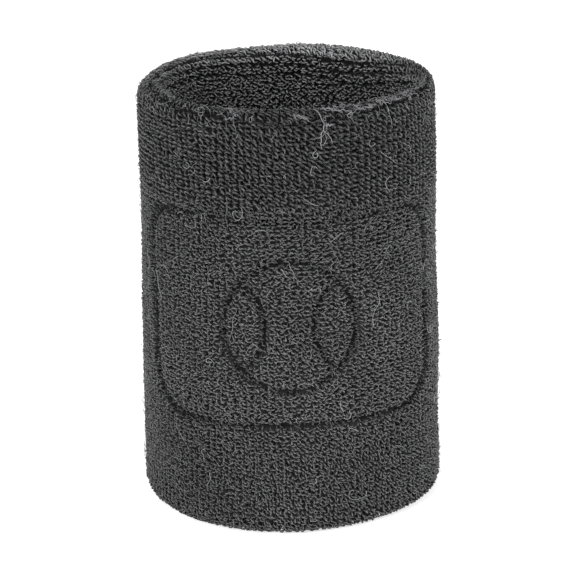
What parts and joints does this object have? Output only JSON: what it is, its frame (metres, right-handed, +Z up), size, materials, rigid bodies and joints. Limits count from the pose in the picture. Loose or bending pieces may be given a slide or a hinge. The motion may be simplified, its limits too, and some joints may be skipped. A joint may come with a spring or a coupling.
{
  "type": "sweat wristband",
  "caption": "Double-layer terry sweatband: a stretchy knitted tube worn round the wrist, with an outlined front panel that holds a plain ball motif.",
  "frame": {"origin": "centre of the wrist opening at the level of the surface the band stands on", "axes": "+Z up along the wrist opening, from the folded edge to the seamed edge; -Y towards the front panel; +X to the right seen from the front"},
  "size_m": [0.055, 0.055, 0.08],
  "materials": {
    "charcoal_terry": "matte looped cotton and polyester yarn, charcoal melange",
    "ground_knit": "matte dark knitted ground",
    "elastic_yarn": "matte covered rubber yarn",
    "seam_thread": "spun polyester thread, slightly lighter than the band"
  },
  "bodies": {
    "root": {"outer_terry_pile": "charcoal_terry", "panel_terry_pile": "charcoal_terry", "ball_terry_pile": "charcoal_terry", "outer_ground_knit": "ground_knit", "outer_elastic_yarn": "elastic_yarn", "inner_elastic_yarn": "elastic_yarn", "inner_ground_knit": "ground_knit", "inner_terry_pile": "charcoal_terry", "fold_ground_knit": "ground_knit", "fold_terry_pile": "charcoal_terry", "hem_crest_roll": "charcoal_terry", "hem_inner_roll": "charcoal_terry", "needle_thread": "seam_thread", "looper_thread": "seam_thread", "seam_stitches": "seam_thread", "thread_tail": "seam_thread"}
  },
  "joints": []
}
